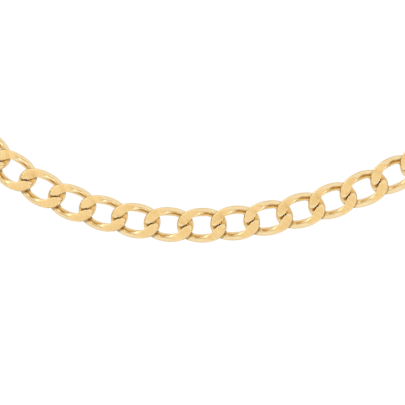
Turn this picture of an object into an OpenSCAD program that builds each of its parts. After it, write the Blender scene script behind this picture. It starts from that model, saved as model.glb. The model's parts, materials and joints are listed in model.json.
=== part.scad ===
// Flat curb-chain necklace with a lobster clasp, laid open on a flat surface.
// Each link is an oval wire ring, twisted so that its four corners lie alternately high and low,
// and filed flat on both faces. Every link hooks into the next one.
// The frame is +Z up, z = 0 on the table, and the origin below the middle of the whole outline.

/* [Chain] */
// Distance between the middles of two neighbouring links
pitch = 8.2; // [8:0.1:8.6]
// Diameter of the round wire that the links are bent from
wire_d = 2; // [1.9:0.02:2.04]
// Slack between two hooked links when the chain is pulled straight
link_gap = 0.12; // [0.1:0.01:0.16]
// Width of the chain across a link
band_w = 8.5; // [8.3:0.1:8.8]
// Thickness of the chain between its two filed faces
band_h = 3.2; // [3:0.05:3.3]
// Height of the wire's middle at a corner, above or below the chain's middle plane
corner_lift = 1.2; // [1.15:0.01:1.3]
// Outward bulge of a link's corners, as a share of its size
corner_bulge = 0.03; // [0:0.01:0.05]
// How far a filed face spreads inwards where it runs beside the next link's face
lip = 0.42; // [0.3:0.02:0.5]

/* [Layout on the table] */
// Angle between neighbouring links at the front, in degrees
front_turn = 5.1; // [4.6:0.1:5.6]
// Angle between neighbouring links at the clasp end, in degrees
back_turn = 7.6; // [7:0.1:8]
// How much more the left side bends than the right near the front, in degrees per link
lean = 1.5; // [0:0.1:1.8]
// Heading of the front link, in degrees
front_heading = 1.4; // [0:0.1:3]

/* [Rings] */
// Wire diameter of the jump ring that holds the clasp
jump_wire_d = 1; // [0.9:0.05:1]
// Diameter of the jump ring, to the middle of its wire
jump_mean_d = 6; // [5.9:0.05:6.2]
// Wire diameter of the catch ring that the clasp closes on
catch_wire_d = 1; // [0.9:0.05:1.05]
// Diameter of the catch ring, to the middle of its wire
catch_mean_d = 6.4; // [6.3:0.1:6.6]
// Lean of the jump ring from lying flat, in degrees
jump_tilt = 54; // [52:0.5:56]
// Lean of the catch ring from lying flat, in degrees
catch_tilt = 40; // [38:0.5:42]

/* [Clasp] */
// Outer radius of the claw
claw_r = 4.4; // [4.3:0.05:4.5]
// Inner radius of the claw
claw_bore_r = 2.9; // [2.85:0.05:2.95]
// Thickness of the claw body
clasp_h = 4; // [3.8:0.1:4.2]
// Thickness of the lever
lever_h = 1.5; // [1.3:0.05:1.6]
// Diameter of the pin that the lever turns on
pin_d = 1; // [0.9:0.02:1]

/* [Hidden] */
$fn = 64;
side_links = 25;
ring_count = 24;
wire_sides = 8;
wire_r = wire_d / 2;
loop_a = (pitch + wire_d + link_gap) / 2;
loop_b = (band_w - wire_d) / 2;
// The spread starts at this angle from a link's end
lip_from = 9;

// Where each link lies. Link 0 is the front link, and negative numbers are on the left
lean_span = 24;
function step_turn(s) = front_turn
    + (back_turn - front_turn) * (1 - cos(180 * min(abs(s) / side_links, 1))) / 2
    - (abs(s) < lean_span ? lean * sin(360 * s / lean_span) : 0);
function heading_of(i) = i == 0 ? front_heading
    : i > 0 ? heading_of(i - 1) + step_turn(i - 0.5)
    : heading_of(i + 1) - step_turn(i + 0.5);
headings = [for (i = [-side_links:side_links]) heading_of(i)];
function heading(i) = headings[i + side_links];
function along(angle) = [cos(angle), sin(angle)];
function half_step(i) = pitch / 2 * (along(heading(i - 1)) + along(heading(i)));
function spot_of(i) = i == 0 ? [0, 0] : i > 0 ? spot_of(i - 1) + half_step(i) : spot_of(i + 1) - half_step(i + 1);
spots = [for (i = [-side_links:side_links]) spot_of(i)];

// The two ends: the rings stand leaning through the last links, and the clasp lies beyond its ring
jump_r = jump_mean_d / 2;
catch_r = catch_mean_d / 2;
jump_reach = 5.4;
catch_reach = 4.8;
clasp_turn = -7;
eye_reach = 3.3;
eye_side = -1.2;
claw_x = 10;
clasp_heading = heading(-side_links) + 180 + clasp_turn;
jump_spot = spots[0] - jump_reach * along(heading(-side_links));
eye_spot = jump_spot - eye_reach * along(heading(-side_links)) - eye_side * along(heading(-side_links) + 90);
claw_spot = eye_spot + claw_x * along(clasp_heading);
catch_spot = spots[2 * side_links] + catch_reach * along(heading(side_links));

// Half the room that a link at this heading takes up along X and along Y
function link_room(angle) = [
    wire_r + norm([loop_a * cos(angle), loop_b * sin(angle)]),
    wire_r + norm([loop_a * sin(angle), loop_b * cos(angle)])
];
low_points = concat(
    [for (k = [0:2 * side_links]) spots[k] - link_room(headings[k])],
    [claw_spot - [claw_r, claw_r], catch_spot - [catch_r, catch_r]]
);
high_points = concat(
    [for (k = [0:2 * side_links]) spots[k] + link_room(headings[k])],
    [claw_spot + [claw_r, claw_r], catch_spot + [catch_r, catch_r]]
);
function lowest(points, axis) = min([for (p = points) p[axis]]);
function highest(points, axis) = max([for (p = points) p[axis]]);
middle = [
    (lowest(low_points, 0) + highest(high_points, 0)) / 2,
    (lowest(low_points, 1) + highest(high_points, 1)) / 2
];

function link_name(side, i) = str(side, "_link_", i < 10 ? "0" : "", i);

function unit(v) = v / norm(v);

// Middle line of a link's wire, at angle t around the link
function bulge(t) = 1 + corner_bulge * pow(sin(2 * t), 2);
function link_line(t) = [
    loop_a * bulge(t) * cos(t),
    loop_b * bulge(t) * sin(t),
    -corner_lift * (3 * sin(2 * t) - pow(sin(2 * t), 3)) / 2
];

// Inward spread of the wire at angle t. from_end counts from the nearer end of the link
function ease(x) = let (c = max(0, min(1, x))) c * c * (3 - 2 * c);
function from_end(t) = 90 - abs(90 - t % 180);
function spread(t) = lip * ease((from_end(t) - lip_from) / 20) * ease((70 - from_end(t)) / 28);

// One point of the wire's surface: angle q around the wire, with the filed faces cut flat.
// out points level and away from the link's middle, and up stands square to the wire.
// face is 1 where the wire is near the upper face, and -1 near the lower one
function filed_point(t, centre, out, up, q) =
    let (
        face = t % 180 > 90 ? 1 : -1,
        rise = wire_r * sin(q),
        top = (band_h / 2 - centre[2]) / up[2],
        bottom = (-band_h / 2 - centre[2]) / up[2],
        level = max(bottom, min(top, rise)),
        reach = sqrt(max(0, wire_r * wire_r - level * level)),
        side = abs(cos(q)) < 0.01 ? 0 : sign(cos(q)),
        shift = level == rise ? wire_r * cos(q) : side * reach,
        full = wire_r + min(wire_r, face > 0 ? top : -bottom),
        share = pow(min(1, max(0, (wire_r + face * level) / full)), 6)
    )
    centre + out * (shift - (side < 0 ? spread(t) * share : 0)) + up * level;

function wire_ring(t) =
    let (
        ahead = unit(link_line(t + 1) - link_line(t - 1)),
        out = unit(cross(ahead, [0, 0, 1])),
        up = cross(out, ahead)
    )
    [for (k = [0:wire_sides - 1]) filed_point(t, link_line(t), out, up, 360 * k / wire_sides)];

// Closed twisted wire ring with both faces filed
module curb_link() {
    rings = [for (j = [0:ring_count - 1]) wire_ring(360 * j / ring_count)];
    points = [for (ring = rings) for (p = ring) p];
    faces = [
        for (j = [0:ring_count - 1], k = [0:wire_sides - 1])
            let (
                next_j = (j + 1) % ring_count,
                next_k = (k + 1) % wire_sides,
                a = j * wire_sides + k,
                b = j * wire_sides + next_k,
                c = next_j * wire_sides + next_k,
                d = next_j * wire_sides + k
            )
            for (face = [[a, b, c], [a, c, d]]) face
    ];
    color("gold") polyhedron(points, faces);
}

// Link number i where it lies
module placed_link(i) {
    translate([spots[i + side_links][0] - middle[0], spots[i + side_links][1] - middle[1], band_h / 2])
        rotate([0, 0, heading(i)])
            curb_link();
}

// A round wire ring that leans through the end of a link
module leaning_ring(spot, angle, tilt, mean_r, ring_wire_d) {
    translate([spot[0] - middle[0], spot[1] - middle[1], mean_r * sin(tilt) + ring_wire_d / 2])
        rotate([0, 0, angle])
            rotate([tilt, 0, 0])
                rotate_extrude(angle = 360)
                    translate([mean_r, 0])
                        circle(d = ring_wire_d);
}

module jump_ring() {
    color("goldenrod") leaning_ring(jump_spot, heading(-side_links) + 180, jump_tilt, jump_r, jump_wire_d);
}

module catch_ring() {
    color("goldenrod") leaning_ring(catch_spot, heading(side_links), catch_tilt, catch_r, catch_wire_d);
}

// The clasp's own frame: x runs from the eye at the tail to the claw, and z = 0 is its middle plane
pivot = [5.2, 1.6];
eye_r = 2.5;
eye_bore_r = 1.8;
eye_h = 0.8;
neck_w = 2.4;
slot_h = lever_h + 0.2;
mouth_from = 58;
mouth_to = 140;
hub_r = 1.2;
lever_gap = 0.1;
lever_reach = 7;

module in_clasp_frame() {
    translate([eye_spot[0] - middle[0], eye_spot[1] - middle[1], clasp_h / 2])
        rotate([0, 0, clasp_heading])
            children();
}

module slab(h) {
    translate([0, 0, -h / 2]) linear_extrude(h) children();
}

// A pie-slice of the plane around the claw's middle, between two angles
module claw_slice(from, to, reach) {
    steps = 8;
    translate([claw_x, 0])
        polygon(concat(
            [[0, 0]],
            [for (k = [0:steps]) reach * along(from + (to - from) * k / steps)]
        ));
}

// Claw, haunches with the lever slot, and the tail with its eye
module clasp_body() {
    color("gold") in_clasp_frame() {
        difference() {
            union() {
                slab(clasp_h) claw_outline();
                slab(2.4) translate([2.2, -neck_w / 2]) square([1.5, neck_w]);
                slab(eye_h) difference() {
                    circle(eye_r);
                    circle(eye_bore_r);
                }
            }
            slab(slot_h) lever_slot();
            translate([pivot[0], pivot[1], -clasp_h]) cylinder(d = pin_d + 0.04, h = 2 * clasp_h);
        }
    }
}

module claw_outline() {
    difference() {
        union() {
            translate([claw_x, 0]) circle(claw_r);
            polygon([[3, -1.3], [5, -3.1], [7.4, -3.55], [7.4, 3.55], [4.6, 3], [3, 1.6]]);
        }
        translate([claw_x, 0]) circle(claw_bore_r);
        claw_slice(mouth_from, mouth_to, 3 * claw_r);
        // Seat inside the claw's tip, so that the lever swings in past it
        intersection() {
            claw_slice(10, mouth_from + 1, 3 * claw_r);
            translate(pivot) circle(lever_reach + lever_gap);
        }
    }
}

module lever_slot() {
    translate(pivot) circle(hub_r + 0.7);
    translate([pivot[0] - 1.9, pivot[1]]) square([6, 4]);
    translate([pivot[0], 0.2]) square([4, 4]);
}

// Sprung lever that closes the claw: hub, arm over the mouth and thumb nub
module clasp_lever() {
    color("goldenrod") in_clasp_frame() difference() {
        slab(lever_h) union() {
            intersection() {
                difference() {
                    translate([claw_x, 0]) circle(claw_r - lever_gap);
                    translate([claw_x, 0]) circle(claw_bore_r + lever_gap);
                }
                claw_slice(mouth_from - 8, 158, 2 * claw_r);
                translate(pivot) circle(lever_reach);
            }
            translate([pivot[0], pivot[1] - 0.6]) square([1.7, 1.4]);
            translate(pivot) circle(hub_r);
            translate(pivot) rotate([0, 0, 108]) translate([0, -0.6]) square([2.2, 1.2]);
            translate(pivot + 2.3 * along(108)) circle(0.75);
        }
        translate([pivot[0], pivot[1], -clasp_h]) cylinder(d = pin_d + 0.1, h = 2 * clasp_h);
    }
}

module clasp_pin() {
    color("darkgoldenrod") in_clasp_frame()
        translate([pivot[0], pivot[1], -clasp_h / 2])
            cylinder(d = pin_d, h = clasp_h);
}

// Bent leaf spring around the lever's hub, inside the slot
module clasp_spring() {
    color("silver") in_clasp_frame()
        translate([pivot[0], pivot[1], -0.5])
            rotate([0, 0, 160])
                rotate_extrude(angle = 120)
                    translate([hub_r + 0.25, 0])
                        square([0.25, 1]);
}

placed_link(0);  // front_link
for (i = [1:side_links]) {
    placed_link(-i);
    placed_link(i);
}
jump_ring();
clasp_body();
clasp_lever();
clasp_pin();
clasp_spring();
catch_ring();
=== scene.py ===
import bpy
import bmesh
import json
import math
import random
from mathutils import Matrix, Vector
from mathutils.kdtree import KDTree


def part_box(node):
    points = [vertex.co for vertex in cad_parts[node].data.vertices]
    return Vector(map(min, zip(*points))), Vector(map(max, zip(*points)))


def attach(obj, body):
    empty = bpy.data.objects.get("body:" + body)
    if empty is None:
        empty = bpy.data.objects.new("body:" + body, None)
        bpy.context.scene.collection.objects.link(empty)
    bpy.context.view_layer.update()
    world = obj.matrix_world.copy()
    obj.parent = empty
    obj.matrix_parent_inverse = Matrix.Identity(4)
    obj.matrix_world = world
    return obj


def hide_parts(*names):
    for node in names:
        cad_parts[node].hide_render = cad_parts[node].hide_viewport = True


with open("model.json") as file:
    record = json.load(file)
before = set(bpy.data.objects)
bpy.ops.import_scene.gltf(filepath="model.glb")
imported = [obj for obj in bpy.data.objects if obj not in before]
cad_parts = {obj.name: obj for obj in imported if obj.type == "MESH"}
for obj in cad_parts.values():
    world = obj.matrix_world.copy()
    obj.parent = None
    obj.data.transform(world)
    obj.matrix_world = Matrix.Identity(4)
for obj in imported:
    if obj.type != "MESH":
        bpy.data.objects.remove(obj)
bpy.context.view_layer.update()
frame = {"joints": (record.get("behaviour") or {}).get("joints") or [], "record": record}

MM = 0.001

# The chain's driving dimensions, in millimetres
PITCH = 8.2
WIRE_D = 2.0
LINK_GAP = 0.12
BAND_W = 8.5
BAND_H = 3.2
CORNER_LIFT = 1.2
CORNER_BULGE = 0.03
LOOP_A = (PITCH + WIRE_D + LINK_GAP) / 2
LOOP_B = (BAND_W - WIRE_D) / 2
WIRE_R = WIRE_D / 2
LINKS_EACH_SIDE = 25

# How far the arms spread inwards, the degrees from a link's end where that starts and stops, and the
# degrees over which it grows and fades
LIP = 0.6
LIP_FROM = 3
LIP_TO = 70
LIP_GROWS = 15
LIP_FADES = 28

# The bearing ridge inside each end of a link: its height, and the degrees it reaches each way
SEAT_RISE = 0.04
SEAT_SPAN = 8

# The rings' dimensions, with the tilt and the place of the soldered seam in degrees
JUMP_WIRE_D = 1.0
JUMP_MEAN_D = 6.0
JUMP_TILT = 54
JUMP_SEAM = 100
CATCH_WIRE_D = 1.0
CATCH_MEAN_D = 6.4
CATCH_TILT = 40
CATCH_SEAM = 70

# The clasp's dimensions, in its own frame: x runs from the eye to the claw, z = 0 is its middle plane
CLASP_H = 4.0
CLAW_X = 10.0
CLAW_R = 4.4
CLAW_BORE_R = 2.9
MOUTH_FROM = 58
MOUTH_TO = 140
PIVOT = Vector((5.2, 1.6, 0))
EYE_R = 2.5
EYE_BORE_R = 1.8
EYE_H = 0.8
LEVER_H = 1.5
LEVER_GAP = 0.1
LEVER_REACH = 7.0
HUB_R = 1.2
NUB_TURN = 108
NUB_R = 0.75
PIN_D = 1.0

# The slot for the lever: its height, floor, top and front, and the room round the lever's hub
SLOT_H = LEVER_H + 0.2
SLOT_FLOOR = 0.2
SLOT_TOP = 6
SLOT_FRONT = PIVOT.x + 4
SLOT_ROOM = 0.7

# The leaf spring: where it starts and how far it goes round the hub, in degrees, then its size
SPRING_FROM = 160
SPRING_SPAN = 120
SPRING_R = HUB_R + 0.375
SPRING_HOOK = 0.1
SPRING_THICK = 0.18
SPRING_H = 1.0


# ---------------------------------------------------------------- materials

# Tint of the metals' reflections at grazing angles
RIM_TINT = (0.6, 0.46, 0.26)
# Colours of the chain, each pair from the deepest to the brightest
WIRE_COLOURS = ((0.9, 0.68, 0.36), (0.95, 0.76, 0.45))
FACET_COLOURS = ((0.92, 0.63, 0.26), (0.99, 0.8, 0.46))
MOTTLE_COLOUR = (0.74, 0.46, 0.16)
# Painted shade: the dark brown the links' wire turns to in the crevices between links and under the next
# link's arm
PAINTED_SHADE_COLOUR = (0.28, 0.15, 0.035)
# Roughness from the smoothest spots to the dullest
WIRE_ROUGHNESS = (0.17, 0.27)
FACET_ROUGHNESS = (0.4, 0.55)
# Direction of the file strokes on the facets, in degrees from the link's length
FILE_TURN = 35
# Sizes of the surface patterns, in features per metre
CLOUD = 450
MARKS = 5200
RIPPLE = 900
FILE_STROKES = 1500
PATCHES = 480
STREAKS = 2500
# Heights of the surface relief, in metres
GOLD_RELIEF = 0.00002
STEEL_RELIEF = 0.00001


def new_metal(name, base, roughness):
    material = bpy.data.materials.new(name)
    material.use_nodes = True
    shader = material.node_tree.nodes["Principled BSDF"]
    shader.inputs["Base Color"].default_value = (*base, 1)
    shader.inputs["Metallic"].default_value = 1
    shader.inputs["Roughness"].default_value = roughness
    shader.inputs["Specular Tint"].default_value = (*RIM_TINT, 1)
    return material, material.node_tree, shader


def noise_on(tree, scale, detail=3.0, roughness=0.55, stretch=(1, 1, 1), turn=0.0, phase=None):
    """Noise in the piece's own coordinates, drawn out by stretch along axes turned about z.
    scale is in features per metre. Pieces with another phase get another pattern."""
    coords = tree.nodes.new("ShaderNodeTexCoord")
    mapping = tree.nodes.new("ShaderNodeMapping")
    mapping.vector_type = "TEXTURE"
    mapping.inputs["Rotation"].default_value = (0, 0, math.radians(turn))
    mapping.inputs["Scale"].default_value = stretch
    texture = tree.nodes.new("ShaderNodeTexNoise")
    texture.inputs["Scale"].default_value = scale
    texture.inputs["Detail"].default_value = detail
    texture.inputs["Roughness"].default_value = roughness
    tree.links.new(coords.outputs["Object"], mapping.inputs["Vector"])
    tree.links.new(mapping.outputs["Vector"], texture.inputs["Vector"])
    if phase:
        texture.noise_dimensions = "4D"
        tree.links.new(phase, texture.inputs["W"])
    return texture.outputs["Fac"]


def ramp(tree, factor, low, high, start=0.3, end=0.7):
    """Two-colour ramp. Plain numbers make a grey one."""
    node = tree.nodes.new("ShaderNodeValToRGB")
    node.color_ramp.elements[0].position = start
    node.color_ramp.elements[1].position = end
    for element, value in zip(node.color_ramp.elements, (low, high)):
        element.color = (*value, 1) if isinstance(value, tuple) else (value, value, value, 1)
    tree.links.new(factor, node.inputs["Fac"])
    return node.outputs["Color"]


def bump(tree, shader, height, distance, strength=1.0):
    node = tree.nodes.new("ShaderNodeBump")
    node.inputs["Strength"].default_value = strength
    node.inputs["Distance"].default_value = distance
    tree.links.new(height, node.inputs["Height"])
    tree.links.new(node.outputs["Normal"], shader.inputs["Normal"])


def polished_gold(name, base=(0.95, 0.78, 0.5), deep=(0.91, 0.71, 0.42), roughness=WIRE_ROUGHNESS):
    """Gold-plated wire: bright, with faint clouding and fine tumbling marks."""
    material, tree, shader = new_metal(name, base, roughness[0])
    cloud = noise_on(tree, CLOUD, detail=4)
    tree.links.new(ramp(tree, cloud, deep, base), shader.inputs["Base Color"])
    marks = noise_on(tree, MARKS, detail=5, roughness=0.7)
    tree.links.new(ramp(tree, marks, *roughness), shader.inputs["Roughness"])
    ripple = noise_on(tree, RIPPLE, detail=2)
    bump(tree, shader, ripple, GOLD_RELIEF, 0.35)
    return material


def blend(tree, factor, low, high):
    """Mixes two colours or two grey values. Each is a socket or a tuple."""
    node = tree.nodes.new("ShaderNodeMix")
    node.data_type = "RGBA"
    tree.links.new(factor, node.inputs["Factor"])
    colour_a, colour_b, colour_out = node.inputs[6], node.inputs[7], node.outputs[2]
    for socket, value in ((colour_a, low), (colour_b, high)):
        if isinstance(value, tuple):
            socket.default_value = (*value, 1)
        else:
            tree.links.new(value, socket)
    return colour_out


def painted(tree, name):
    """One of the numbers stored on the mesh's points."""
    node = tree.nodes.new("ShaderNodeAttribute")
    node.attribute_name = name
    return node.outputs["Fac"]


def chain_gold(name):
    """Links: polished wire with shade painted into it in the crevices between links and under the next
    link's arm, and satin filed facets.
    It reads the numbers that build_link_mesh stores on the points."""
    material, tree, shader = new_metal(name, (0.95, 0.78, 0.5), 0.2)
    phase = painted(tree, "phase")
    cloud = noise_on(tree, CLOUD, detail=4, phase=phase)
    # Painted shade: the wire's colour goes to the dark shade colour where shielded is high, in the crevices
    # and under the next link's arm
    wire = blend(tree, painted(tree, "painted_shade"), ramp(tree, cloud, *WIRE_COLOURS), PAINTED_SHADE_COLOUR)
    grain = noise_on(tree, FILE_STROKES, 6, 0.65, stretch=(0.32, 4, 1), turn=FILE_TURN, phase=phase)
    patches = noise_on(tree, PATCHES, detail=5, roughness=0.6, phase=phase)
    mottle = ramp(tree, patches, 0.0, 0.6, 0.48, 0.7)
    facet = blend(tree, mottle, ramp(tree, grain, *FACET_COLOURS), MOTTLE_COLOUR)
    filed = painted(tree, "filed")
    tree.links.new(blend(tree, filed, wire, facet), shader.inputs["Base Color"])
    marks = noise_on(tree, MARKS, detail=5, roughness=0.7)
    matt = blend(tree, filed, ramp(tree, marks, *WIRE_ROUGHNESS), ramp(tree, grain, *FACET_ROUGHNESS))
    tree.links.new(matt, shader.inputs["Roughness"])
    ripple = noise_on(tree, RIPPLE, detail=2)
    bump(tree, shader, blend(tree, filed, ripple, grain), GOLD_RELIEF, 0.4)
    return material


def spring_steel(name):
    """Plain steel strip, streaked along its length by rolling."""
    material, tree, shader = new_metal(name, (0.62, 0.6, 0.57), 0.3)
    streaks = noise_on(tree, STREAKS, detail=4, stretch=(1, 1, 0.15))
    tree.links.new(ramp(tree, streaks, 0.25, 0.42), shader.inputs["Roughness"])
    tree.links.new(ramp(tree, streaks, (0.55, 0.53, 0.5), (0.68, 0.66, 0.62)), shader.inputs["Base Color"])
    bump(tree, shader, streaks, STEEL_RELIEF, 0.4)
    return material


link_gold = chain_gold("link_gold")
ring_gold = polished_gold("ring_gold", roughness=(0.08, 0.17))
solder_gold = polished_gold("solder_gold", (0.86, 0.62, 0.33), (0.76, 0.52, 0.26), (0.25, 0.4))
cast_gold = polished_gold("cast_gold", roughness=(0.12, 0.26))
lever_gold = polished_gold("lever_gold", roughness=(0.1, 0.22))
pin_gold = polished_gold("pin_gold", (0.9, 0.64, 0.31), (0.82, 0.55, 0.25), (0.16, 0.3))
strip_steel = spring_steel("strip_steel")


# ---------------------------------------------------------------- mesh helpers

def scaled_mesh(bm, name, materials):
    """Turns a bmesh in millimetres into a mesh in metres."""
    mesh = bpy.data.meshes.new(name)
    bm.to_mesh(mesh)
    bm.free()
    mesh.transform(Matrix.Scale(MM, 4))
    for material in materials:
        mesh.materials.append(material)
    return mesh


def add_piece(mesh, name, place, body, node):
    """Puts a piece in place, in the stead of a CAD node, and lets it ride on its body."""
    piece = bpy.data.objects.new(name, mesh)
    bpy.context.scene.collection.objects.link(piece)
    piece.matrix_world = place
    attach(piece, body)
    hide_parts(node)


def add_look(bm, node, materials, place, body):
    """Makes a bmesh in millimetres the look of a CAD node."""
    name = "look_" + node
    add_piece(scaled_mesh(bm, name, materials), name, place, body, node)


def smooth_all(bm):
    """Smooth shading on every face."""
    for face in bm.faces:
        face.smooth = True


def sweep(bm, rings, closed):
    """Skins a list of rings of points, and joins the last to the first if closed. Returns the vertices."""
    layers = [[bm.verts.new(p) for p in ring] for ring in rings]
    count = len(layers)
    around = len(layers[0])
    for j in range(count if closed else count - 1):
        here, ahead = layers[j], layers[(j + 1) % count]
        for k in range(around):
            bm.faces.new((here[k], here[(k + 1) % around], ahead[(k + 1) % around], ahead[k]))
    return layers


def capped(bm, rings):
    """A closed solid through rings of points, with flat ends."""
    layers = sweep(bm, rings, closed=False)
    bm.faces.new(list(reversed(layers[0])))
    bm.faces.new(layers[-1])


# ---------------------------------------------------------------- chain links

LINK_STEPS = 144
LINK_SIDES = 64

# Higher powers keep the lip closer to the filed face, and the bearing ridge narrower
LIP_SHARPNESS = 9
SEAT_SHARPNESS = 32

# Softness of the facets' worn rims, and the depth of filing that makes a full facet, in millimetres
RIM_SOFT = 0.15
FILED_DEPTH = 0.2

# Links that differ in their surface pattern, and how far apart their patterns are
LINK_PATTERNS = 5
PHASE_STEP = 0.013

# Painted shade in the crevice between two links: it fades out over the fade, up to the gap, in millimetres
CREVICE_GAP = 0.3
CREVICE_FADE = 0.2

# Painted shade under the next link's arm: its strength beside the crevice's, the height between the two
# wires where it starts, how far it reaches past the arm's edge, and how fast each of these fades
UNDER_SHADE = 0.65
UNDER_HEIGHT = 0.6
UNDER_HEIGHT_FADE = 0.5
UNDER_REACH = 0.55
UNDER_REACH_FADE = 0.3

# That painted shade is weaker on the neck's side of the link, between the ends
INNER_WEAKENING = 0.9
INNER_HALF_LENGTH = 4.3
INNER_FADE = 0.5


def link_line(t):
    """Middle line of a link's wire at angle t, in millimetres."""
    s = math.sin(2 * t)
    bulge = 1 + CORNER_BULGE * s * s
    return Vector((
        LOOP_A * bulge * math.cos(t),
        LOOP_B * bulge * math.sin(t),
        -CORNER_LIFT * (3 * s - s ** 3) / 2,
    ))


def ease(x):
    """Smooth step from 0 at x = 0 to 1 at x = 1."""
    x = min(1, max(0, x))
    return x * x * (3 - 2 * x)


def degrees_from_end(t):
    """Angle between t and the nearer end of the link."""
    return 90 - abs(90 - math.degrees(t) % 180)


def spread(t):
    """How far the wire spreads inwards at angle t, beside the next link's wire."""
    from_end = degrees_from_end(t)
    return LIP * ease((from_end - LIP_FROM) / LIP_GROWS) * ease((LIP_TO - from_end) / LIP_FADES)


def seat_rise(t):
    """Height of the low ridge that a link bears on, inside each of its ends."""
    return SEAT_RISE * max(0, 1 - (degrees_from_end(t) / SEAT_SPAN) ** 2)


def file_down(level):
    """A height after filing: what stands past the band's two faces comes down to them, with soft rims."""
    top = math.log(1 + math.exp((level - BAND_H / 2) / RIM_SOFT))
    bottom = math.log(1 + math.exp((-level - BAND_H / 2) / RIM_SOFT))
    return level + RIM_SOFT * (bottom - top)


def wire_section(t):
    """The wire's outline at angle t, before it is filed."""
    ahead = (link_line(t + 0.01) - link_line(t - 0.01)).normalized()
    out = ahead.cross(Vector((0, 0, 1))).normalized()
    up = out.cross(ahead)
    centre = link_line(t)
    face = 1 if math.degrees(t) % 180 > 90 else -1
    # Depth of the wire left between the filed face and its far side
    full = WIRE_R + min(WIRE_R, (BAND_H / 2 - face * centre.z) / up.z)
    ring = []
    for k in range(LINK_SIDES):
        q = math.tau * k / LINK_SIDES
        across, level = WIRE_R * math.cos(q), WIRE_R * math.sin(q)
        share = min(1, max(0, (WIRE_R + face * level) / full)) ** LIP_SHARPNESS
        inner_half = across < -0.01
        if inner_half:
            across -= spread(t) * share + seat_rise(t) * math.cos(q) ** SEAT_SHARPNESS
        ring.append(centre + out * across + up * level)
    return ring


def next_ends(sides):
    """The middle lines of the neighbouring links' ends, at the sides given as -1 and 1 along x."""
    points = []
    for side in sides:
        for i in range(121):
            t = math.radians(i - 60) + (math.pi if side > 0 else 0)
            points.append(link_line(t) + Vector((side * PITCH, 0, 0)))
    return points


def tree_of(points):
    """The points in a tree that finds the nearest of them."""
    tree = KDTree(len(points))
    for i, point in enumerate(points):
        tree.insert(point, i)
    tree.balance()
    return tree


def shade_painted_at(point, ends, beside, above):
    """How much shade is painted at a point: in the crevice between two links, and under the next
    link's arm. The two trees hold the points of ends, in space and in plan."""
    gap = beside.find(point)[2] - WIRE_R
    crevice = ease((CREVICE_GAP - gap) / CREVICE_FADE)
    nearest, distance = above.find(Vector((point.x, point.y, 0)))[1:]
    height = abs(ends[nearest].z - point.z)
    under = ease((height - UNDER_HEIGHT) / UNDER_HEIGHT_FADE)
    under = under * ease((WIRE_R + UNDER_REACH - distance) / UNDER_REACH_FADE)
    inner_side = ease(point.y / INNER_FADE) * ease((INNER_HALF_LENGTH - abs(point.x)) / INNER_FADE)
    return max(crevice, UNDER_SHADE * under * (1 - INNER_WEAKENING * inner_side))


def build_link_mesh(name, sides, phase):
    """A link, with numbers stored on its points for chain_gold: phase picks its surface pattern,
    shielded is the shade painted where its neighbours at these sides would shade it, and filed marks its
    facets."""
    bm = bmesh.new()
    pattern = bm.verts.layers.float.new("phase")
    filed = bm.verts.layers.float.new("filed")
    painted_shade = bm.verts.layers.float.new("painted_shade")
    sweep(bm, [wire_section(math.tau * j / LINK_STEPS) for j in range(LINK_STEPS)], closed=True)
    smooth_all(bm)
    ends = next_ends(sides)
    beside = tree_of(ends)
    above = tree_of([Vector((p.x, p.y, 0)) for p in ends])
    for vert in bm.verts:
        vert[pattern] = phase
        # Painted shade where the neighbouring links' ends lie close beside or above this point
        vert[painted_shade] = shade_painted_at(vert.co, ends, beside, above)
        vert[filed] = ease((abs(vert.co.z) - BAND_H / 2) / FILED_DEPTH)
        vert.co.z = file_down(vert.co.z)
    bmesh.ops.recalc_face_normals(bm, faces=bm.faces[:])
    return scaled_mesh(bm, name, [link_gold])


def place_links():
    """Puts each link between its two joints. Returns each link's centre and rightward direction."""
    first = build_link_mesh("first_link", [1], 0)
    last = build_link_mesh("last_link", [-1], 0)
    inner = [build_link_mesh(f"curb_link_{i}", [-1, 1], PHASE_STEP * i) for i in range(LINK_PATTERNS)]
    half = PITCH * MM / 2
    pivots = {j["child"]: Vector(j["pos_m"]) for j in frame["joints"]}
    ends = {"left": pivots["jump_ring"], "right": pivots["catch_ring"]}
    places = {}
    left, right = pivots["left_link_01"], pivots["right_link_01"]
    places["front_link"] = ((left + right) / 2, right - left)
    for side, sign in (("left", -1), ("right", 1)):
        for i in range(1, LINKS_EACH_SIDE + 1):
            name = f"{side}_link_{i:02d}"
            beyond = pivots.get(f"{side}_link_{i + 1:02d}", ends[side])
            along = (beyond - pivots[name]).normalized()
            places[name] = (pivots[name] + along * half, along * sign)
    order = random.Random(7)
    for name, (centre, along) in places.items():
        turn = math.atan2(along.y, along.x)
        place = Matrix.Translation(centre) @ Matrix.Rotation(turn, 4, "Z")
        mesh = {"left_link_25": first, "right_link_25": last}.get(name) or order.choice(inner)
        add_piece(mesh, "look_" + name, place, name, name)
    return places


# ---------------------------------------------------------------- rings

RING_STEPS = 120
# The soldered seam, in millimetres: the relative depth and the width of its neck, and the solder's reach
SEAM_NECK = 0.05
SEAM_WIDTH = 0.09
SOLDER_REACH = 0.2


def ring_section(angle, mean_r, wire_r, sides=24):
    centre = Vector((mean_r * math.cos(angle), mean_r * math.sin(angle), 0))
    out = centre.normalized()
    ring = []
    for k in range(sides):
        q = math.tau * k / sides
        ring.append(centre + out * wire_r * math.cos(q) + Vector((0, 0, wire_r * math.sin(q))))
    return ring


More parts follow.
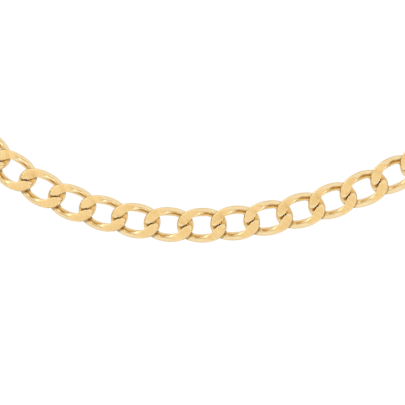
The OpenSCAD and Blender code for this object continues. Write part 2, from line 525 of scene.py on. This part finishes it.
def wire_ring(name, mean_d, wire_d, tilt, heading, seam):
    """A closed ring of round wire, with its soldered butt joint at the seam angle."""
    bm = bmesh.new()
    mean_r, wire_r = mean_d / 2, wire_d / 2

    def from_seam(angle):
        return mean_r * abs((angle - math.radians(seam) + math.pi) % math.tau - math.pi)

    sections = []
    for j in range(RING_STEPS):
        angle = math.tau * j / RING_STEPS
        neck = 1 - SEAM_NECK * math.exp(-((from_seam(angle) / SEAM_WIDTH) ** 2))
        sections.append(ring_section(angle, mean_r, wire_r * neck))
    sweep(bm, sections, closed=True)
    smooth_all(bm)
    bmesh.ops.recalc_face_normals(bm, faces=bm.faces[:])
    for face in bm.faces:
        centre = face.calc_center_median()
        if from_seam(math.atan2(centre.y, centre.x)) < SOLDER_REACH:
            face.material_index = 1
    low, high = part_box(name)
    place = Matrix.Translation((low + high) / 2) @ Matrix.Rotation(heading, 4, "Z")
    place = place @ Matrix.Rotation(math.radians(tilt), 4, "X")
    add_look(bm, name, [ring_gold, solder_gold], place, name)


# ---------------------------------------------------------------- clasp

def along(angle, length=1.0):
    """A step of this length in the direction of this angle, in degrees."""
    return Vector((length * math.cos(math.radians(angle)), length * math.sin(math.radians(angle)), 0))


def round_box(half_across, half_high, power=3.0, count=28):
    """Outline of a rounded box: an ellipse at power 2, and squarer above that."""
    outline = []
    for k in range(count):
        q = math.tau * k / count
        c, s = math.cos(q), math.sin(q)
        outline.append((
            half_across * math.copysign(abs(c) ** (2 / power), c),
            half_high * math.copysign(abs(s) ** (2 / power), s),
        ))
    return outline


def rod(bm, stations):
    """A closed solid through stations, each with a centre, a sideways direction and an outline."""
    rings = []
    for centre, side, outline in stations:
        rings.append([centre + side * u + Vector((0, 0, v)) for u, v in outline])
    capped(bm, rings)


def disc(bm, centre, radius, half_high, power=5.0):
    """A round button with softened edges."""
    rings = []
    steps = 16
    for j in range(steps + 1):
        q = math.pi * (j / steps - 0.5)
        r = radius * math.cos(q) ** (2 / power) if 0 < j < steps else radius * 0.02
        z = half_high * math.copysign(abs(math.sin(q)) ** (2 / power), q)
        rings.append([centre + along(360 * k / 40, r) + Vector((0, 0, z)) for k in range(40)])
    capped(bm, rings)


def slab(bm, outline, half_high):
    """A flat plate with this outline, to cut with."""
    low = [bm.verts.new((x, y, -half_high)) for x, y in outline]
    high = [bm.verts.new((x, y, half_high)) for x, y in outline]
    bm.faces.new(list(reversed(low)))
    bm.faces.new(high)
    count = len(outline)
    for k in range(count):
        ahead = (k + 1) % count
        bm.faces.new((low[k], low[ahead], high[ahead], high[k]))


def temporary(bm, name):
    """An object to run modifiers on, removed later."""
    bmesh.ops.recalc_face_normals(bm, faces=bm.faces[:])
    mesh = bpy.data.meshes.new(name)
    bm.to_mesh(mesh)
    bm.free()
    piece = bpy.data.objects.new(name, mesh)
    bpy.context.scene.collection.objects.link(piece)
    return piece


def cast(bm, name, voxel, smoothing, cutters=()):
    """Melts overlapping solids into one casting with soft fillets, then cuts it. Returns a bmesh."""
    blank = temporary(bm, name + "_blank")
    melt = blank.modifiers.new("melt", "REMESH")
    melt.mode = "VOXEL"
    melt.voxel_size = voxel
    soften = blank.modifiers.new("soften", "SMOOTH")
    soften.factor = 0.5
    soften.iterations = smoothing
    tools = [temporary(cutter, name + "_cutter") for cutter in cutters]
    for tool in tools:
        cut = blank.modifiers.new("cut", "BOOLEAN")
        cut.operation = "DIFFERENCE"
        cut.solver = "EXACT"
        cut.object = tool
    graph = bpy.context.evaluated_depsgraph_get()
    done = bmesh.new()
    done.from_object(blank, graph)
    for piece in [blank, *tools]:
        mesh = piece.data
        bpy.data.objects.remove(piece)
        bpy.data.meshes.remove(mesh)
    smooth_all(done)
    mark_sharp(done, 40)
    return done


def mark_sharp(bm, angle):
    """Keeps a crease at the edges where faces meet at more than this angle."""
    for edge in bm.edges:
        faces = edge.link_faces
        if len(faces) == 2 and faces[0].normal.angle(faces[1].normal, 0) > math.radians(angle):
            edge.smooth = False


def curve(u, a, b, c, d):
    """Catmull-Rom curve from b at u = 0 to c at u = 1. a comes before them and d after."""
    slope = (c - a) / 2
    square = a - 2.5 * b + 2 * c - d / 2
    cube = 1.5 * (b - c) + (d - a) / 2
    return b + u * slope + u * u * square + u ** 3 * cube


def filled_in(rows, parts=4):
    """Rows of numbers with more rows put between them, on smooth curves through them all."""
    filled = []
    for i in range(len(rows) - 1):
        before, after = rows[max(i - 1, 0)], rows[min(i + 2, len(rows) - 1)]
        columns = list(zip(before, rows[i], rows[i + 1], after))
        for j in range(parts):
            filled.append([curve(j / parts, *column) for column in columns])
    return [*filled, rows[-1]]


def clasp_place():
    """The clasp's own frame, from the lever's pivot and the claw's middle."""
    pivot = next(Vector(j["pos_m"]) for j in frame["joints"] if j["child"] == "clasp_lever")
    claw = next(Vector(m["pos_m"]) for m in frame["record"]["mounts"] if m["name"] == "claw_hook")
    between = Vector((CLAW_X, 0, 0)) - PIVOT
    seen = claw - pivot
    turn = math.atan2(seen.y, seen.x) - math.atan2(between.y, between.x)
    turned = Matrix.Rotation(turn, 4, "Z")
    return Matrix.Translation(claw - turned @ Vector((CLAW_X * MM, 0, 0))) @ turned


def from_pivot(angle, reach):
    """Radius around the claw's middle, at this angle, of a point at this reach from the pivot."""
    base = Vector((CLAW_X, 0, 0)) - PIVOT
    half = base.dot(along(angle))
    return -half + math.sqrt(half * half - base.dot(base) + reach * reach)


def claw_stations(start, end, inner_r, outer_r, half_high, steps=60):
    """Stations around the claw's middle. The radii and the height are functions of the angle."""
    stations = []
    for j in range(steps + 1):
        angle = start + (end - start) * j / steps
        inner, outer = inner_r(angle), outer_r(angle)
        centre = Vector((CLAW_X, 0, 0)) + along(angle, (inner + outer) / 2)
        stations.append((centre, along(angle), round_box((outer - inner) / 2, half_high(angle))))
    return stations


# The haunches' outline: x, the lower and upper edge in y, and half the height
HAUNCH = (
    (1.95, -0.9, 0.9, 0.38),
    (2.4, -1.0, 1.02, 0.6),
    (2.9, -1.15, 1.25, 0.95),
    (3.5, -1.6, 1.85, 1.3),
    (4.2, -2.25, 2.5, 1.65),
    (5.0, -2.95, 3.0, 1.88),
    (6.0, -3.2, 3.2, 1.98),
    (7.0, -3.35, 3.35, 2.0),
)


def clasp_body(place):
    """Cast body: claw, haunches with the lever's slot, neck and eye."""
    bm = bmesh.new()
    tip = 360 + MOUTH_FROM

    def seat(angle):
        return max(CLAW_BORE_R, from_pivot(angle, LEVER_REACH + LEVER_GAP)) if angle > 370 else CLAW_BORE_R

    def height(angle):
        return (CLASP_H / 2) * (1 - 0.34 * ease((angle - 200) / 190) - 0.25 * ease((angle - tip + 8) / 8))

    rod(bm, claw_stations(MOUTH_TO, tip, seat, lambda angle: CLAW_R, height))
    haunch = []
    for x, low, high, half_high in filled_in(HAUNCH):
        outline = round_box((high - low) / 2, half_high, 2.7)
        haunch.append((Vector((x, (low + high) / 2, 0)), Vector((0, 1, 0)), outline))
    rod(bm, haunch)
    eye = []
    for j in range(72):
        angle = 360 * j / 72
        middle = along(angle, (EYE_R + EYE_BORE_R) / 2)
        outline = round_box((EYE_R - EYE_BORE_R) / 2, EYE_H / 2, 2.4, 20)
        eye.append([middle + along(angle) * u + Vector((0, 0, v)) for u, v in outline])
    sweep(bm, eye, closed=True)
    slot = bmesh.new()
    reach = HUB_R + SLOT_ROOM
    wall = PIVOT.x - reach
    outline = [(SLOT_FRONT, SLOT_FLOOR), (SLOT_FRONT, SLOT_TOP), (wall, SLOT_TOP), (wall, PIVOT.y)]
    outline += [(PIVOT + along(a, reach)).to_2d().to_tuple() for a in range(190, 271, 10)]
    outline.append((PIVOT.x + 0.4, SLOT_FLOOR))
    slab(slot, outline, SLOT_H / 2)
    done = cast(bm, "clasp_body", 0.07, 14, [slot])
    add_look(done, "clasp_body", [cast_gold], place, "clasp_body")


def clasp_lever(place):
    """Sprung lever: arm over the mouth, hub and round thumb nub."""
    bm = bmesh.new()
    inner = CLAW_BORE_R + LEVER_GAP

    def outer(angle):
        return min(CLAW_R - LEVER_GAP, from_pivot(angle, LEVER_REACH)) if angle < 100 else CLAW_R - LEVER_GAP

    def height(angle):
        return (LEVER_H / 2) * (1 - 0.2 * ease((75 - angle) / 25))

    rod(bm, claw_stations(158, MOUTH_FROM - 8, lambda angle: inner, outer, height))
    disc(bm, PIVOT, HUB_R, LEVER_H / 2)
    bridge_outline = round_box(0.62, LEVER_H / 2, 4)
    rod(bm, [
        (Vector((PIVOT.x + d, PIVOT.y + 0.1, 0)), Vector((0, 1, 0)), bridge_outline) for d in (0, 1.6)
    ])
    out = along(NUB_TURN)
    side = along(NUB_TURN + 90)
    stem_outline = round_box(0.55, LEVER_H / 2 * 0.92, 4)
    rod(bm, [(PIVOT + out * d, side, stem_outline) for d in (0.4, 2.2)])
    disc(bm, PIVOT + out * 2.3, NUB_R, LEVER_H / 2, 3.5)
    done = cast(bm, "clasp_lever", 0.055, 8)
    add_look(done, "clasp_lever", [lever_gold], place, "clasp_lever")


def clasp_pin(place):
    """Rivet through the haunches, with domed heads."""
    bm = bmesh.new()
    radius = PIN_D / 2
    profile = [(0.02, 2.0), (0.16, 1.99), (0.3, 1.96), (0.42, 1.9), (0.485, 1.82), (radius, 1.72)]
    profile += [(r, -z) for r, z in reversed(profile)]
    capped(bm, [[PIVOT + along(360 * k / 32, r) + Vector((0, 0, z)) for k in range(32)] for r, z in profile])
    smooth_all(bm)
    bmesh.ops.recalc_face_normals(bm, faces=bm.faces[:])
    add_look(bm, "clasp_pin", [pin_gold], place, "clasp_body")


def clasp_spring(place):
    """Bent leaf spring beside the lever's hub, with turned-in ends."""
    bm = bmesh.new()
    stations = []
    steps = 40
    for j in range(steps + 1):
        angle = SPRING_FROM + SPRING_SPAN * j / steps
        hook = SPRING_HOOK * (ease((6 - j) / 6) + ease((j - steps + 6) / 6))
        middle = PIVOT + along(angle, SPRING_R - hook)
        stations.append((middle, along(angle), round_box(SPRING_THICK / 2, SPRING_H / 2, 6, 20)))
    rod(bm, stations)
    smooth_all(bm)
    bmesh.ops.recalc_face_normals(bm, faces=bm.faces[:])
    mark_sharp(bm, 50)
    add_look(bm, "clasp_spring", [strip_steel], place, "clasp_body")


# ---------------------------------------------------------------- table, light and camera

# Width of the view, and its middle's place beside the middle link's centre, in millimetres
VIEW_WIDTH = 99.7
VIEW_X = 0.15
VIEW_Y = 5.6
# Just under the chain, so that the two do not touch, in metres
FLOOR_Z = -0.00002
# The tent's slit: its colour, and the slopes where that starts to fade and ends
SLIT_COLOUR = (0.7, 0.58, 0.37, 1)
SLIT_EDGE = 0.1
SLIT_END = 0.2


def make_floor():
    """A plain white table, lit evenly so that it shows no grey patches."""
    bm = bmesh.new()
    bmesh.ops.create_grid(bm, x_segments=2, y_segments=2, size=3)
    mesh = bpy.data.meshes.new("floor")
    bm.to_mesh(mesh)
    bm.free()
    floor = bpy.data.objects.new("floor", mesh)
    floor.location.z = FLOOR_Z
    bpy.context.scene.collection.objects.link(floor)
    material = bpy.data.materials.new("floor_white")
    material.use_nodes = True
    shader = material.node_tree.nodes["Principled BSDF"]
    shader.inputs["Base Color"].default_value = (0.02, 0.02, 0.02, 1)
    shader.inputs["Roughness"].default_value = 0.9
    shader.inputs["Specular IOR Level"].default_value = 0.0
    shader.inputs["Emission Color"].default_value = (1, 1, 1, 1)
    shader.inputs["Emission Strength"].default_value = 1.0
    mesh.materials.append(material)


def make_sky():
    """A white light tent with a slit in its roof, where the lens looks in. The slit runs along x."""
    world = bpy.data.worlds.new("tent")
    bpy.context.scene.world = world
    world.use_nodes = True
    tree = world.node_tree
    background = tree.nodes["Background"]
    background.inputs["Strength"].default_value = 1.0
    coords = tree.nodes.new("ShaderNodeTexCoord")
    split = tree.nodes.new("ShaderNodeSeparateXYZ")
    across = tree.nodes.new("ShaderNodeMath")
    across.operation = "ABSOLUTE"
    shade = tree.nodes.new("ShaderNodeValToRGB")
    shade.color_ramp.interpolation = "EASE"
    shade.color_ramp.elements[0].position = SLIT_EDGE
    shade.color_ramp.elements[0].color = SLIT_COLOUR
    shade.color_ramp.elements[1].position = SLIT_END
    shade.color_ramp.elements[1].color = (1, 1, 1, 1)
    tree.links.new(coords.outputs["Generated"], split.inputs["Vector"])
    tree.links.new(split.outputs["Y"], across.inputs[0])
    tree.links.new(across.outputs["Value"], shade.inputs["Fac"])
    tree.links.new(shade.outputs["Color"], background.inputs["Color"])


def area_light(name, location, size, power, color=(1, 1, 1)):
    """A square lamp aimed at the origin."""
    light = bpy.data.lights.new(name, "AREA")
    light.size = size
    light.energy = power
    light.color = color
    lamp = bpy.data.objects.new(name, light)
    lamp.location = location
    lamp.rotation_euler = (-Vector(location)).to_track_quat("-Z", "Y").to_euler()
    bpy.context.scene.collection.objects.link(lamp)


def make_camera(front):
    """A camera that looks straight down on the front of the chain. front is the middle link's centre."""
    camera = bpy.data.cameras.new("camera")
    camera.lens = 100
    camera.sensor_width = 36
    height = VIEW_WIDTH * MM * camera.lens / camera.sensor_width
    camera.clip_start = 0.01
    camera.clip_end = 20
    holder = bpy.data.objects.new("camera", camera)
    holder.location = (front.x + VIEW_X * MM, front.y + VIEW_Y * MM, BAND_H * MM / 2 + height)
    bpy.context.scene.collection.objects.link(holder)
    bpy.context.scene.camera = holder


places = place_links()
left_end = places["left_link_25"][1]
right_end = places["right_link_25"][1]
heading_left = math.atan2(left_end.y, left_end.x)
heading_right = math.atan2(right_end.y, right_end.x)
wire_ring("jump_ring", JUMP_MEAN_D, JUMP_WIRE_D, JUMP_TILT, heading_left + math.pi, JUMP_SEAM)
wire_ring("catch_ring", CATCH_MEAN_D, CATCH_WIRE_D, CATCH_TILT, heading_right, CATCH_SEAM)
clasp = clasp_place()
clasp_body(clasp)
clasp_lever(clasp)
clasp_pin(clasp)
clasp_spring(clasp)

make_floor()
make_sky()
area_light("key", (-0.6, 0.5, 0.9), 0.6, 1.6, (1, 0.98, 0.94))
area_light("fill", (0.7, -0.4, 0.8), 0.5, 0.6)
make_camera(places["front_link"][0])
bpy.context.scene.view_settings.view_transform = "Standard"
